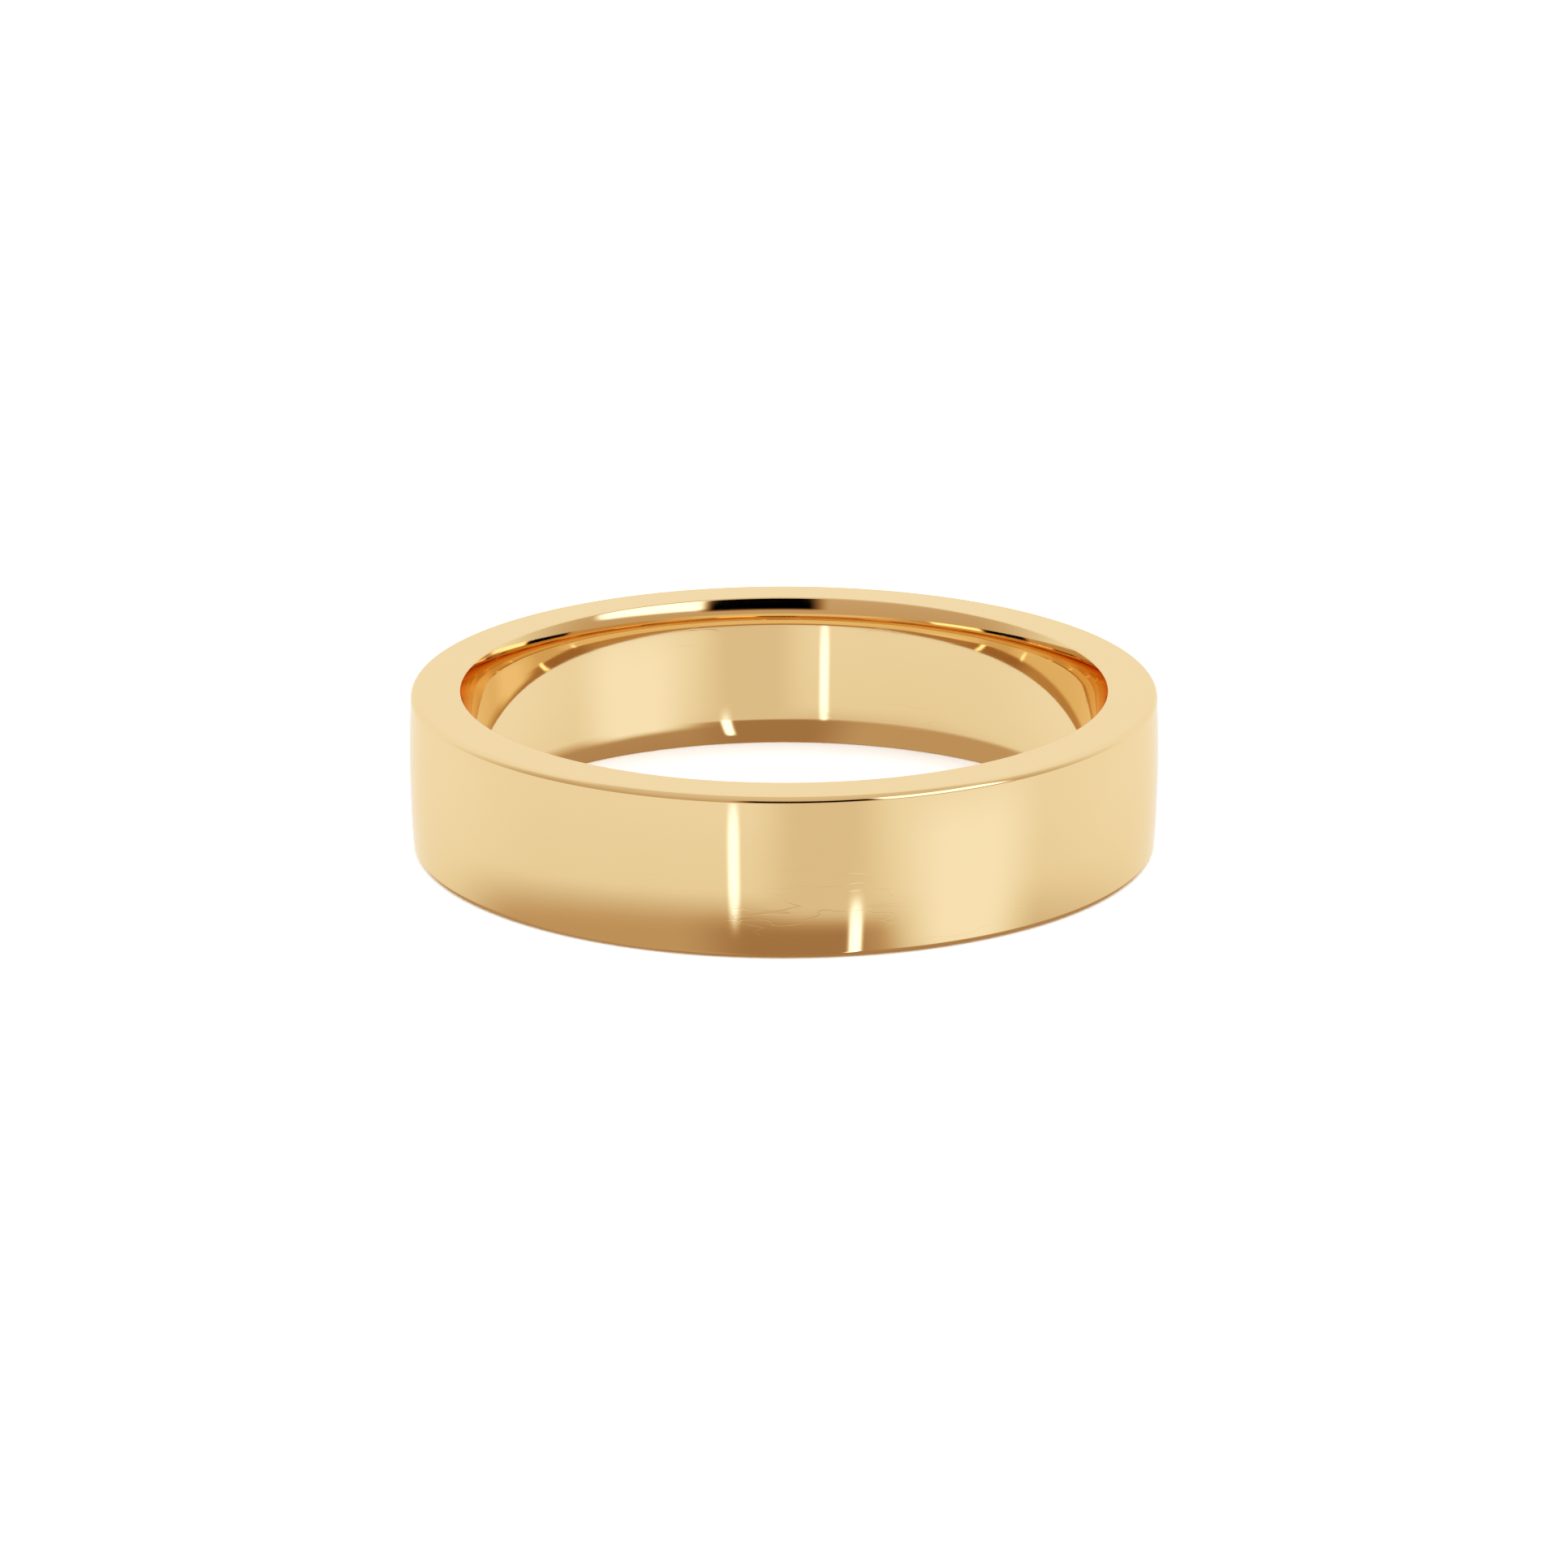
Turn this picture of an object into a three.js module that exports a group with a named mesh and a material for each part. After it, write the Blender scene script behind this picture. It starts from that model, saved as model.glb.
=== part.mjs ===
// Flat wedding band with a comfort-fit bore, one seamless piece of gold.
// Millimetres, +Z up. The band lies on its side face: the origin is the centre of that face's
// plane, and the bore's axis is +Z.
import * as THREE from "three";

// Driving dimensions. Each is a size that a goldsmith sets by itself.
const BORE_DIAMETER = 19.84; // across the narrowest place, at mid-width: ring size US 10
const BAND_WIDTH = 5.0; // along the axis, side face to side face
const WALL = 1.8; // metal between bore and outside, at mid-width
const OUTER_CROWN_RADIUS = 38; // the slight dome across the outside
const OUTER_EDGE_RADIUS = 0.2; // rounding between the outside and a side face
const BORE_CROWN_RADIUS = 43; // the slight dome across the middle of the bore
const COMFORT_RADIUS = 3.4; // rounding of the bore towards each side face
const COMFORT_DEPTH = 0.9; // how far that rounding reaches in from the side face, along the axis
const INNER_EDGE_RADIUS = 0.06; // the polished edge where the rounding meets the side face

// How finely each arc of the profile, and the turn about the axis, is cut into facets.
const TURN_STEPS = 120;
const OUTER_CROWN_STEPS = 6;
const OUTER_EDGE_STEPS = 3;
const BORE_CROWN_STEPS = 4;
const COMFORT_STEPS = 3;
const INNER_EDGE_STEPS = 2;

const BORE_RADIUS = BORE_DIAMETER / 2;
const OUTER_RADIUS = BORE_RADIUS + WALL;
const HALF_WIDTH = BAND_WIDTH / 2;
const QUARTER_TURN = Math.PI / 2;

// Points along an arc in the (radius, height) plane. An angle is 0 where the arc faces along
// `facing` (+1 away from the axis, -1 towards it) and a quarter turn where it faces up.
function arc(centre, radius, facing, from, to, steps) {
  return Array.from({ length: steps + 1 }, (_, i) => {
    const angle = from + ((to - from) * i) / steps;
    return new THREE.Vector2(
      centre.x + facing * radius * Math.cos(angle),
      centre.y + radius * Math.sin(angle),
    );
  });
}

// The centre of a smaller arc that touches a larger one from the inside, at that angle.
function touchingCentre(centre, radius, facing, smallerRadius, angle) {
  const reach = radius - smallerRadius;
  return new THREE.Vector2(
    centre.x + facing * reach * Math.cos(angle),
    centre.y + reach * Math.sin(angle),
  );
}

// The angle at which an arc's smaller neighbour touches it, where that neighbour also touches
// the side face.
function angleBelowFace(centre, radius, smallerRadius) {
  return Math.asin(
    (HALF_WIDTH - smallerRadius - centre.y) / (radius - smallerRadius),
  );
}

// Upper half of the outside, from mid-width up to the side face: crown, then edge.
function outsideHalf() {
  const crownCentre = new THREE.Vector2(OUTER_RADIUS - OUTER_CROWN_RADIUS, 0);
  const edgeStart = angleBelowFace(
    crownCentre,
    OUTER_CROWN_RADIUS,
    OUTER_EDGE_RADIUS,
  );
  const edgeCentre = touchingCentre(
    crownCentre,
    OUTER_CROWN_RADIUS,
    1,
    OUTER_EDGE_RADIUS,
    edgeStart,
  );
  return [
    ...arc(crownCentre, OUTER_CROWN_RADIUS, 1, 0, edgeStart, OUTER_CROWN_STEPS / 2),
    ...arc(edgeCentre, OUTER_EDGE_RADIUS, 1, edgeStart, QUARTER_TURN, OUTER_EDGE_STEPS).slice(1),
  ];
}

// Upper half of the bore, from mid-width up to the side face: crown, comfort rounding, then edge.
function boreHalf() {
  const crownCentre = new THREE.Vector2(BORE_RADIUS + BORE_CROWN_RADIUS, 0);
  const comfortStart = Math.asin((HALF_WIDTH - COMFORT_DEPTH) / BORE_CROWN_RADIUS);
  const comfortCentre = touchingCentre(
    crownCentre,
    BORE_CROWN_RADIUS,
    -1,
    COMFORT_RADIUS,
    comfortStart,
  );
  const edgeStart = angleBelowFace(
    comfortCentre,
    COMFORT_RADIUS,
    INNER_EDGE_RADIUS,
  );
  const edgeCentre = touchingCentre(
    comfortCentre,
    COMFORT_RADIUS,
    -1,
    INNER_EDGE_RADIUS,
    edgeStart,
  );
  return [
    ...arc(crownCentre, BORE_CROWN_RADIUS, -1, 0, comfortStart, BORE_CROWN_STEPS / 2),
    ...arc(comfortCentre, COMFORT_RADIUS, -1, comfortStart, edgeStart, COMFORT_STEPS).slice(1),
    ...arc(edgeCentre, INNER_EDGE_RADIUS, -1, edgeStart, QUARTER_TURN, INNER_EDGE_STEPS).slice(1),
  ];
}

// The same half below mid-width, from the lower side face up to just under mid-width.
function mirroredBelow(half) {
  return half
    .slice(1)
    .reverse()
    .map((point) => new THREE.Vector2(point.x, -point.y));
}

// The whole section, closed: up the outside, in across the upper side face, down the bore, and
// out across the lower side face. It stands on height 0.
function section() {
  const outside = outsideHalf();
  const bore = boreHalf();
  const points = [
    ...mirroredBelow(outside),
    ...outside,
    ...[...mirroredBelow(bore), ...bore].reverse(),
  ];
  points.push(points[0].clone());
  return points.map((point) => new THREE.Vector2(point.x, point.y + HALF_WIDTH));
}

function makeBand() {
  const gold = new THREE.MeshStandardMaterial({
    color: new THREE.Color(0.9, 0.68, 0.4),
    roughness: 0.08,
    metalness: 1,
  });
  const geometry = new THREE.LatheGeometry(section(), TURN_STEPS);
  geometry.rotateX(QUARTER_TURN); // LatheGeometry turns about +Y
  const band = new THREE.Mesh(geometry, gold);
  band.name = "band";
  return band;
}

const weddingBand = new THREE.Group();
weddingBand.add(makeBand());

export default weddingBand;
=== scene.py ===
import math
from typing import NamedTuple

import bpy
import numpy as np
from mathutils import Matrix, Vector


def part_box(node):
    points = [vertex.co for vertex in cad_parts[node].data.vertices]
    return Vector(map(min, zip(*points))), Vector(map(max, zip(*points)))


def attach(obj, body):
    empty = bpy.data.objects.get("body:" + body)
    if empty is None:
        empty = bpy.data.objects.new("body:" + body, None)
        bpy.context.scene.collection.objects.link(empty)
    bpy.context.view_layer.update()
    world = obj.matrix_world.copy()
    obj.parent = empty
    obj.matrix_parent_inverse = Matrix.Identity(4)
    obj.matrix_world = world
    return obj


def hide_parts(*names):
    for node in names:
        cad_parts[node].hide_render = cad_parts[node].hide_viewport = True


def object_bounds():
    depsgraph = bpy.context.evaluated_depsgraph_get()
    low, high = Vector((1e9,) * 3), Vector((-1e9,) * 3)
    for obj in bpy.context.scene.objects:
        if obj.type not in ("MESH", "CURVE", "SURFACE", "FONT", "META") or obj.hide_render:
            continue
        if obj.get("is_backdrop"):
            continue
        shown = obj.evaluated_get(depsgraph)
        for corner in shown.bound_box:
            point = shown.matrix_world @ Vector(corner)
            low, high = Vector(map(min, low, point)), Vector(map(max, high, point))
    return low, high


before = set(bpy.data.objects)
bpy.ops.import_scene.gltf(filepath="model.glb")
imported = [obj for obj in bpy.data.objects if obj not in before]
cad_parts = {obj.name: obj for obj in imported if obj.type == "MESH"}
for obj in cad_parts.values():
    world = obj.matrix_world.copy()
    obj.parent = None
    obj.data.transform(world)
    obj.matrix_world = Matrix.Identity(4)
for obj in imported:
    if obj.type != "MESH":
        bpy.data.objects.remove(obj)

MM = 0.001
CAD_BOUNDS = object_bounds()
BAND_LOW, BAND_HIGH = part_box("band")
OUTER_RADIUS = (BAND_HIGH.x - BAND_LOW.x) / 2
WIDTH = BAND_HIGH.z - BAND_LOW.z
HALF_WIDTH = WIDTH / 2
BORE_RADIUS = min(math.hypot(v.co.x, v.co.y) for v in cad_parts["band"].data.vertices)
CENTRE = Vector((0, 0, HALF_WIDTH))

# The section's arcs, as in the part.
OUTER_CROWN_RADIUS = 38 * MM
OUTER_EDGE_RADIUS = 0.2 * MM
BORE_CROWN_RADIUS = 43 * MM
COMFORT_RADIUS = 3.4 * MM
COMFORT_DEPTH = 0.9 * MM
INNER_EDGE_RADIUS = 0.06 * MM

# How finely the visible band is cut.
TURN_STEPS = 720
OUTER_CROWN_STEPS = 12
OUTER_EDGE_STEPS = 12
SIDE_FACE_STEPS = 6
INNER_EDGE_STEPS = 6
COMFORT_STEPS = 12
BORE_CROWN_STEPS = 8
QUARTER_TURN = math.pi / 2


class SectionPoint(NamedTuple):
    """A point of the band's section with its surface normal, both as radius and height."""

    radius: float
    height: float
    normal_radius: float
    normal_height: float


class Arc(NamedTuple):
    """An arc of the section. Its angle is 0 where it faces along facing, and grows as it turns to face up."""

    centre: tuple
    radius: float
    facing: int
    start: float
    end: float

    def points(self, steps):
        for angle in np.linspace(self.start, self.end, steps + 1):
            normal_radius = self.facing * math.cos(angle)
            normal_height = math.sin(angle)
            radius = self.centre[0] + self.radius * normal_radius
            height = self.centre[1] + self.radius * normal_height
            yield SectionPoint(radius, height, normal_radius, normal_height)

    def centre_of_inner(self, inner_radius, angle):
        """The centre of a smaller arc that touches this one from inside at that angle."""
        reach = self.radius - inner_radius
        across = self.centre[0] + self.facing * reach * math.cos(angle)
        up = self.centre[1] + reach * math.sin(angle)
        return across, up

    def angle_under_face(self, inner_radius):
        """Where a smaller arc touches this one if it also touches the side face."""
        return math.asin((HALF_WIDTH - inner_radius - self.centre[1]) / (self.radius - inner_radius))


def outside_half():
    """The outside from mid-width up to the side face: crown, then edge. Heights are from mid-width."""
    crown = Arc((OUTER_RADIUS - OUTER_CROWN_RADIUS, 0), OUTER_CROWN_RADIUS, 1, 0, 0)
    turn = crown.angle_under_face(OUTER_EDGE_RADIUS)
    crown = crown._replace(end=turn)
    edge_centre = crown.centre_of_inner(OUTER_EDGE_RADIUS, turn)
    edge = Arc(edge_centre, OUTER_EDGE_RADIUS, 1, turn, QUARTER_TURN)
    return [*crown.points(OUTER_CROWN_STEPS), *list(edge.points(OUTER_EDGE_STEPS))[1:]]


def bore_half():
    """The bore from mid-width up to the side face: crown, comfort rounding, then edge."""
    crown = Arc((BORE_RADIUS + BORE_CROWN_RADIUS, 0), BORE_CROWN_RADIUS, -1, 0, 0)
    turn = math.asin((HALF_WIDTH - COMFORT_DEPTH) / BORE_CROWN_RADIUS)
    crown = crown._replace(end=turn)
    comfort = Arc(crown.centre_of_inner(COMFORT_RADIUS, turn), COMFORT_RADIUS, -1, turn, 0)
    edge_turn = comfort.angle_under_face(INNER_EDGE_RADIUS)
    comfort = comfort._replace(end=edge_turn)
    edge_centre = comfort.centre_of_inner(INNER_EDGE_RADIUS, edge_turn)
    edge = Arc(edge_centre, INNER_EDGE_RADIUS, -1, edge_turn, QUARTER_TURN)
    return [
        *crown.points(BORE_CROWN_STEPS),
        *list(comfort.points(COMFORT_STEPS))[1:],
        *list(edge.points(INNER_EDGE_STEPS))[1:],
    ]


def side_face(outer, inner):
    """The flat side face between two points, both left out."""
    for share in np.linspace(0, 1, SIDE_FACE_STEPS + 1)[1:-1]:
        yield outer._replace(radius=outer.radius + share * (inner.radius - outer.radius))


def upper_half():
    """From the outside's mid-width, over the upper side face, to the bore's mid-width."""
    outside = outside_half()
    bore = bore_half()
    return [*outside, *side_face(outside[-1], bore[-1]), *reversed(bore)]


def section():
    """The whole closed section, up the outside and down the bore, standing on height 0."""
    upper = upper_half()
    lower = [p._replace(height=-p.height, normal_height=-p.normal_height) for p in reversed(upper[1:-1])]
    return [p._replace(height=p.height + HALF_WIDTH) for p in (*upper, *lower)]


def make_band(material):
    """The section turned about +Z, with its normals from the arcs, so that reflections run smoothly."""
    points = np.array(section())
    count = len(points)
    angles = np.linspace(0, 2 * math.pi, TURN_STEPS, endpoint=False)
    across = np.stack([np.cos(angles), np.sin(angles)], axis=1)

    def turned(radius, height):
        ring = radius[None, :, None] * across[:, None, :]
        heights = np.broadcast_to(height[None, :, None], (TURN_STEPS, count, 1))
        return np.concatenate([ring, heights], axis=2).reshape(-1, 3)

    index = np.arange(TURN_STEPS * count).reshape(TURN_STEPS, count)
    along = np.roll(index, -1, axis=1)
    around = np.roll(index, -1, axis=0)
    both = np.roll(around, -1, axis=1)
    faces = np.stack([index, around, both, along], axis=2).reshape(-1, 4)
    mesh = bpy.data.meshes.new("gold_band")
    mesh.from_pydata(turned(points[:, 0], points[:, 1]).tolist(), [], faces.tolist())
    mesh.shade_smooth()
    mesh.normals_split_custom_set_from_vertices(turned(points[:, 2], points[:, 3]).tolist())
    mesh.materials.append(material)
    band = bpy.data.objects.new("gold_band", mesh)
    bpy.context.scene.collection.objects.link(band)
    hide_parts("band")
    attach(band, "root")


class Nodes:
    """Makes and links the nodes of one tree. An input is a number, a colour or another node's output."""

    def __init__(self, owner):
        owner.use_nodes = True
        self.tree = owner.node_tree
        self.tree.nodes.clear()

    def add(self, kind, inputs=(), **settings):
        node = self.tree.nodes.new(kind)
        for name, value in settings.items():
            setattr(node, name, value)
        for name, value in dict(inputs).items():
            self.put(node.inputs[name], value)
        return node

    def put(self, socket, value):
        if isinstance(value, bpy.types.NodeSocket):
            self.tree.links.new(value, socket)
        else:
            socket.default_value = value

    def math(self, operation, *values):
        return self.add("ShaderNodeMath", enumerate(values), operation=operation).outputs[0]

    def axes(self, vector):
        return self.add("ShaderNodeSeparateXYZ", {"Vector": vector}).outputs

    def length(self, first, second):
        """The length of a vector with these two components."""
        squares = (self.math("MULTIPLY", value, value) for value in (first, second))
        return self.math("SQRT", self.math("ADD", *squares))

    def smooth(self, value, low, high):
        """0 at low and 1 at high, with a soft change between them."""
        limits = {"Value": value, "From Min": low, "From Max": high}
        return self.add("ShaderNodeMapRange", limits, interpolation_type="SMOOTHSTEP").outputs[0]

    def span(self, value, low, high, bottom, top):
        """value from low to high as a number from bottom to top."""
        limits = {"Value": value, "From Min": low, "From Max": high, "To Min": bottom, "To Max": top}
        return self.add("ShaderNodeMapRange", limits).outputs[0]

    def blend(self, share, first, second):
        """first where share is 0, and second where it is 1."""
        inputs = {"Factor": share, "A": first, "B": second}
        return self.add("ShaderNodeMix", inputs).outputs[0]

    def blend_colours(self, share, first, second):
        """The same for two colours."""
        node = self.add("ShaderNodeMix", {"Factor": share}, data_type="RGBA")
        first_socket, second_socket = (socket for socket in node.inputs if socket.type == "RGBA")
        self.put(first_socket, (*first, 1))
        self.put(second_socket, (*second, 1))
        return next(socket for socket in node.outputs if socket.type == "RGBA")

    def ramp(self, value, stops):
        """A colour ramp. stops are (place, colour), with places from 0 to 1."""
        node = self.add("ShaderNodeValToRGB", {"Fac": value})
        elements = node.color_ramp.elements
        while len(elements) < len(stops):
            elements.new(0)
        for element, (place, _) in zip(elements, stops):
            element.position = place
        for element, (_, colour) in zip(elements, stops):
            element.color = (*colour, 1)
        return node.outputs["Color"]


# The gold: a machine polish that has been handled a little.
GOLD = (0.90, 0.675, 0.365)
GOLD_WARM = (0.89, 0.655, 0.34)
GOLD_EDGE_TINT = (1.0, 0.93, 0.8, 1)
POLISH_ACROSS_PER_METRE = 26000
POLISH_ROUND_PER_METRE = 60
POLISH_DETAIL = 3
CLOUDS_PER_METRE = 260
CLOUD_DETAIL = 4
HANDLED_FROM = 0.4
HANDLED_FULLY = 0.7
SCRATCHES_ACROSS_PER_METRE = 1100
SCRATCHES_ROUND_PER_METRE = 260
SCRATCH_DETAIL = 2
NOISE_MIDDLE = 0.5
SCRATCH_HALF_WIDTH = 0.006
ROUGHNESS_POLISHED = 0.035
ROUGHNESS_HANDLED = 0.06
SCRATCH_ROUGHNESS = 0.08
EDGE_WEAR_ROUGHNESS = 0.05
EDGE_WEAR_REACH = 0.35 * MM
POLISH_HEIGHT = 0.03
SCRATCH_HEIGHT = 0.12
BUMP_DISTANCE = 0.002 * MM


def noise(nodes, place, scale, detail):
    inputs = {"Vector": place, "Scale": scale, "Detail": detail}
    return nodes.add("ShaderNodeTexNoise", inputs).outputs["Fac"]


def along_the_band(nodes, axes, across, per_metre_round, per_metre_across):
    """A place for noise that is finer across the band than round it, so that its marks run round."""
    stretched = {
        "X": nodes.math("MULTIPLY", axes["X"], per_metre_round),
        "Y": nodes.math("MULTIPLY", axes["Y"], per_metre_round),
        "Z": nodes.math("MULTIPLY", across, per_metre_across),
    }
    return nodes.add("ShaderNodeCombineXYZ", stretched).outputs["Vector"]


def scratches(nodes, place, handled):
    """Sparse fine scratches: 1 on the lines where the noise passes through its middle value."""
    from_middle = nodes.math("SUBTRACT", noise(nodes, place, 1, SCRATCH_DETAIL), NOISE_MIDDLE)
    from_line = nodes.math("ABSOLUTE", from_middle)
    return nodes.math("MULTIPLY", nodes.smooth(from_line, SCRATCH_HALF_WIDTH, 0), handled)


def edge_wear(nodes, from_axis, height):
    """1 on the four edges where the side faces end, and 0 from EDGE_WEAR_REACH away."""
    from_middle = nodes.math("ABSOLUTE", nodes.math("SUBTRACT", height, HALF_WIDTH))
    below_face = nodes.math("SUBTRACT", HALF_WIDTH, from_middle)
    distances = [
        nodes.length(nodes.math("SUBTRACT", from_axis, edge_radius), below_face)
        for edge_radius in (outside_half()[-1].radius, bore_half()[-1].radius)
    ]
    return nodes.smooth(nodes.math("MINIMUM", *distances), EDGE_WEAR_REACH, 0)


def polished_gold():
    material = bpy.data.materials.new("polished_gold")
    nodes = Nodes(material)
    place = nodes.add("ShaderNodeTexCoord").outputs["Object"]
    axes = nodes.axes(place)
    from_axis = nodes.length(axes["X"], axes["Y"])
    # Radius plus height changes across the outside, the side faces and the bore alike.
    across = nodes.math("ADD", from_axis, axes["Z"])

    polish_place = along_the_band(
        nodes, axes, across, POLISH_ROUND_PER_METRE, POLISH_ACROSS_PER_METRE
    )
    polish = noise(nodes, polish_place, 1, POLISH_DETAIL)
    clouds = noise(nodes, place, CLOUDS_PER_METRE, CLOUD_DETAIL)
    handled = nodes.smooth(clouds, HANDLED_FROM, HANDLED_FULLY)
    scratch_place = along_the_band(
        nodes, axes, across, SCRATCHES_ROUND_PER_METRE, SCRATCHES_ACROSS_PER_METRE
    )
    scratched = scratches(nodes, scratch_place, handled)
    worn = edge_wear(nodes, from_axis, axes["Z"])

    roughness = nodes.span(handled, 0, 1, ROUGHNESS_POLISHED, ROUGHNESS_HANDLED)
    for mark, added in ((scratched, SCRATCH_ROUGHNESS), (worn, EDGE_WEAR_ROUGHNESS)):
        roughness = nodes.math("ADD", roughness, nodes.math("MULTIPLY", mark, added))
    relief = nodes.math(
        "SUBTRACT",
        nodes.math("MULTIPLY", polish, POLISH_HEIGHT),
        nodes.math("MULTIPLY", scratched, SCRATCH_HEIGHT),
    )
    bump = nodes.add("ShaderNodeBump", {"Height": relief, "Strength": 1, "Distance": BUMP_DISTANCE})
    shader = nodes.add(
        "ShaderNodeBsdfPrincipled",
        {
            "Base Color": nodes.blend_colours(clouds, GOLD, GOLD_WARM),
            "Metallic": 1.0,
            "Specular Tint": GOLD_EDGE_TINT,
            "Roughness": roughness,
            "Normal": bump.outputs["Normal"],
        },
    )
    nodes.add("ShaderNodeOutputMaterial", {"Surface": shader.outputs["BSDF"]})
    return material


class Panel(NamedTuple):
    """A card, lamp or flag with soft sides, in degrees. Azimuth 0 is behind the camera and 90 to its right.
    It reaches from bottom to top in elevation, and level is how bright it is."""

    name: str
    azimuth: float
    width: float
    bottom: float
    top: float
    side_blur: float
    end_blur: float
    level: float

    def mask(self, nodes, azimuth, height):
        side = nodes.math("ABSOLUTE", turn_from(nodes, azimuth, self.azimuth))
        half, side_blur, end_blur = self.width / 2, self.side_blur / 2, self.end_blur / 2
        within = nodes.smooth(side, half + side_blur, half - side_blur)
        over_bottom = nodes.smooth(height, self.bottom - end_blur, self.bottom + end_blur)
        under_top = nodes.smooth(height, self.top + end_blur, self.top - end_blur)
        return nodes.math("MULTIPLY", within, nodes.math("MULTIPLY", over_bottom, under_top))


# The studio that the gold reflects, the same for every part of it: how bright its walls are at each
# elevation in degrees, and the soft cards, lamps and flag that stand in it.
WALLS = (
    (-90, 0.4),
    (-30, 0.5),
    (-20, 0.9),
    (-8, 0.95),
    (0, 0.6),
    (60, 0.75),
    (90, 0.8),
)
CARDS = (
    Panel("back softbox", 180, 160, -20, 60, 60, 10, 0.97),
    Panel("wide foreground", -55, 110, -70, -22, 40, 5, 0.57),
    Panel("dark foreground", 4, 52, -70, -23, 26, 3, 0.4),
    Panel("grey card", 12, 30, -22, -5, 16, 3, 0.8),
    Panel("left strip lamp", -15, 2, -22, -12, 3, 6, 2.2),
    Panel("right strip lamp", 22, 3, -40, -22, 3, 5, 2.4),
    Panel("front right softbox", 58, 36, -28, -12, 24, 8, 1.05),
    Panel("black flag", 8, 42, 6, 34, 8, 3, 0),
    Panel("high right softbox", 50, 40, 8, 40, 8, 4, 2),
)
# The colour of the light at each level: warm where the studio is dim, and neutral to cool in the lamps.
TOP_LEVEL = 3
LIGHT = (
    (0, (0, 0, 0)),
    (0.35, (0.35, 0.2, 0.1)),
    (0.6, (0.6, 0.45, 0.3)),
    (0.9, (0.9, 0.9, 0.85)),
    (1.3, (1.3, 1.5, 1.9)),
    (TOP_LEVEL, (3, 3, 3)),
)


def turn_from(nodes, azimuth, start):
    """The turn from start to azimuth, from -180 to 180 degrees."""
    return nodes.math("WRAP", nodes.math("SUBTRACT", azimuth, start), 180, -180)


def studio_colour(nodes, direction):
    """The colour of the studio in a direction, as a share of TOP_LEVEL."""
    axes = nodes.axes(direction)
    azimuth = nodes.math("DEGREES", nodes.math("ARCTAN2", axes["X"], nodes.math("MULTIPLY", axes["Y"], -1)))
    elevation = nodes.math("DEGREES", nodes.math("ARCSINE", axes["Z"]))
    stops = [((height + 90) / 180, (level / TOP_LEVEL,) * 3) for height, level in WALLS]
    level = nodes.ramp(nodes.span(elevation, -90, 90, 0, 1), stops)
    for card in CARDS:
        level = nodes.blend(card.mask(nodes, azimuth, elevation), level, card.level / TOP_LEVEL)
    stops = [(at / TOP_LEVEL, tuple(c / TOP_LEVEL for c in colour)) for at, colour in LIGHT]
    return nodes.ramp(level, stops)


REFLECTIONS = 16

# Only the gold's reflections see the studio. Everything else sees a plain white backdrop.
WHITE = (1, 1, 1, 1)
BACKDROP_LEVEL = 2.0
FLOOR_HALF_SIDE = 2.0
FLOOR_COLOUR = (0.9, 0.9, 0.9, 1)


def make_studio():
    world = bpy.data.worlds.new("studio")
    bpy.context.scene.world = world
    nodes = Nodes(world)
    colour = studio_colour(nodes, nodes.add("ShaderNodeTexCoord").outputs["Generated"])
    studio = nodes.add("ShaderNodeBackground", {"Color": colour, "Strength": TOP_LEVEL})
    backdrop = nodes.add("ShaderNodeBackground", {"Color": WHITE, "Strength": BACKDROP_LEVEL})
    reflected = nodes.add("ShaderNodeLightPath").outputs["Is Glossy Ray"]
    seen = nodes.add("ShaderNodeMixShader", {0: reflected, 1: backdrop.outputs[0], 2: studio.outputs[0]})
    nodes.add("ShaderNodeOutputWorld", {"Surface": seen.outputs[0]})
    world.cycles.sampling_method = "NONE"


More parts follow.
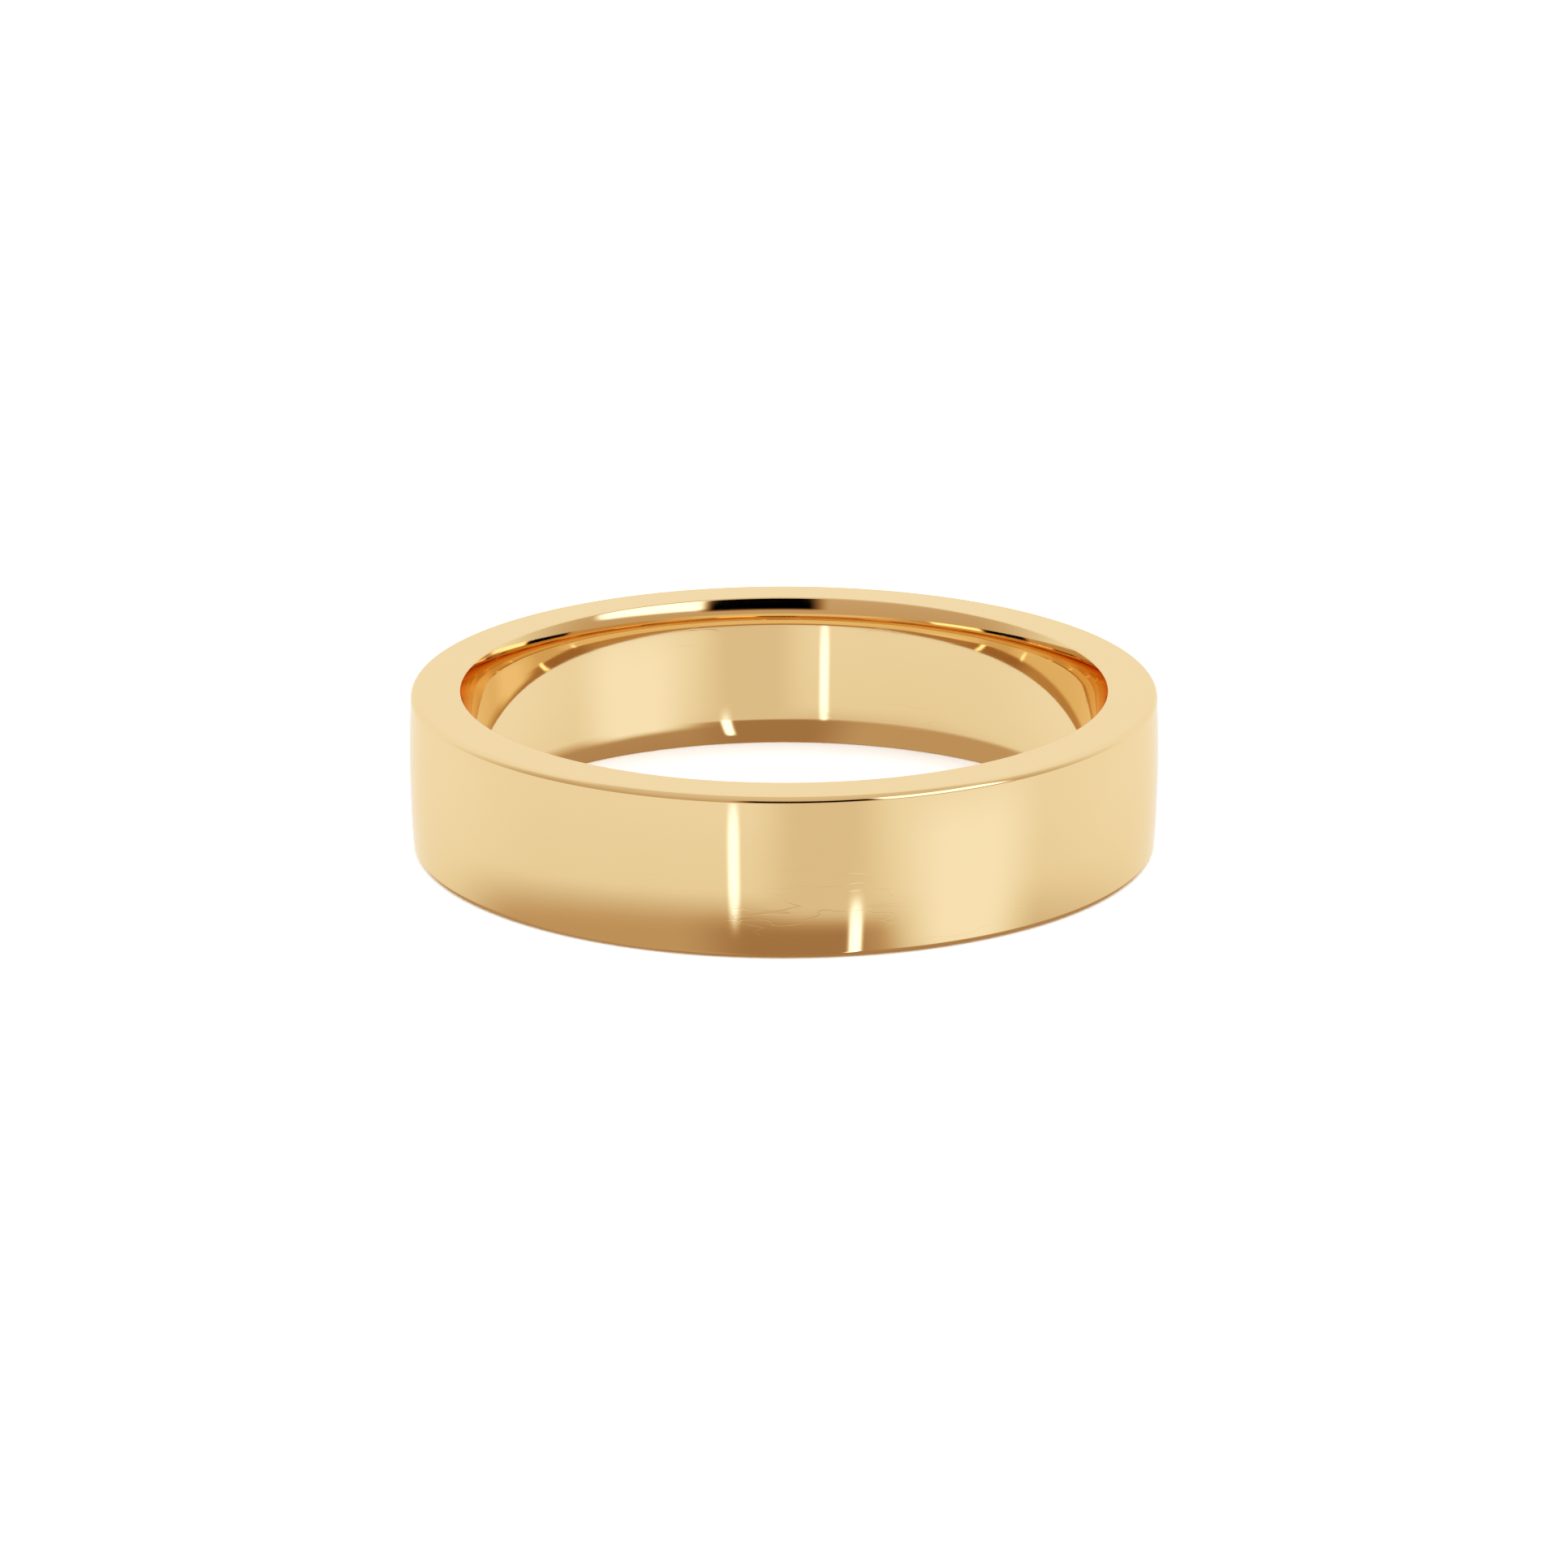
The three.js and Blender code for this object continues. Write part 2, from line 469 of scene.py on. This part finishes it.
def follow_reflections():
    """Light crosses the bore many times at its sides, so reflections go on for longer than by default."""
    bpy.context.scene.cycles.glossy_bounces = REFLECTIONS
    bpy.context.scene.cycles.max_bounces = REFLECTIONS


def stage_mesh(name, vertices, faces, material):
    mesh = bpy.data.meshes.new(name)
    mesh.from_pydata(vertices, [], faces)
    mesh.materials.append(material)
    thing = bpy.data.objects.new(name, mesh)
    bpy.context.scene.collection.objects.link(thing)
    thing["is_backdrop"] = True
    return thing


def make_floor():
    """Pale and matt. Reflections don't show it, so the studio's light reaches the gold from below too."""
    material = bpy.data.materials.new("pale_floor")
    nodes = Nodes(material)
    shader = nodes.add("ShaderNodeBsdfDiffuse", {"Color": FLOOR_COLOUR})
    nodes.add("ShaderNodeOutputMaterial", {"Surface": shader.outputs[0]})
    side = FLOOR_HALF_SIDE
    corners = [(-side, -side, 0), (side, -side, 0), (side, side, 0), (-side, side, 0)]
    stage_mesh("floor", corners, [(0, 1, 2, 3)], material).visible_glossy = False


# The camera looks down on the band with a long lens, and aims a little below its centre.
LENS_MM = 130
SENSOR_MM = 36
CLIP_START = 0.01
CAMERA_DISTANCE = 0.1776
CAMERA_ELEVATION = math.radians(17.32)
AIM_BELOW_CENTRE = 0.716 * MM


def make_camera():
    up = Vector((0, math.sin(CAMERA_ELEVATION), math.cos(CAMERA_ELEVATION)))
    back = Vector((0, -math.cos(CAMERA_ELEVATION), math.sin(CAMERA_ELEVATION)))
    lens = bpy.data.cameras.new("camera")
    lens.lens = LENS_MM
    lens.sensor_width = SENSOR_MM
    lens.clip_start = CLIP_START
    camera = bpy.data.objects.new("camera", lens)
    camera.location = CENTRE + back * CAMERA_DISTANCE
    aim = CENTRE - up * AIM_BELOW_CENTRE
    camera.rotation_euler = (aim - camera.location).to_track_quat("-Z", "Y").to_euler()
    bpy.context.scene.collection.objects.link(camera)
    bpy.context.scene.camera = camera


def write_sizes():
    sizes = {"cad": CAD_BOUNDS, "visual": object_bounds()}
    plain = {name: [list(corner) for corner in corners] for name, corners in sizes.items()}


make_camera()
make_band(polished_gold())
make_floor()
make_studio()
follow_reflections()
bpy.context.scene.view_settings.view_transform = "Standard"
write_sizes()
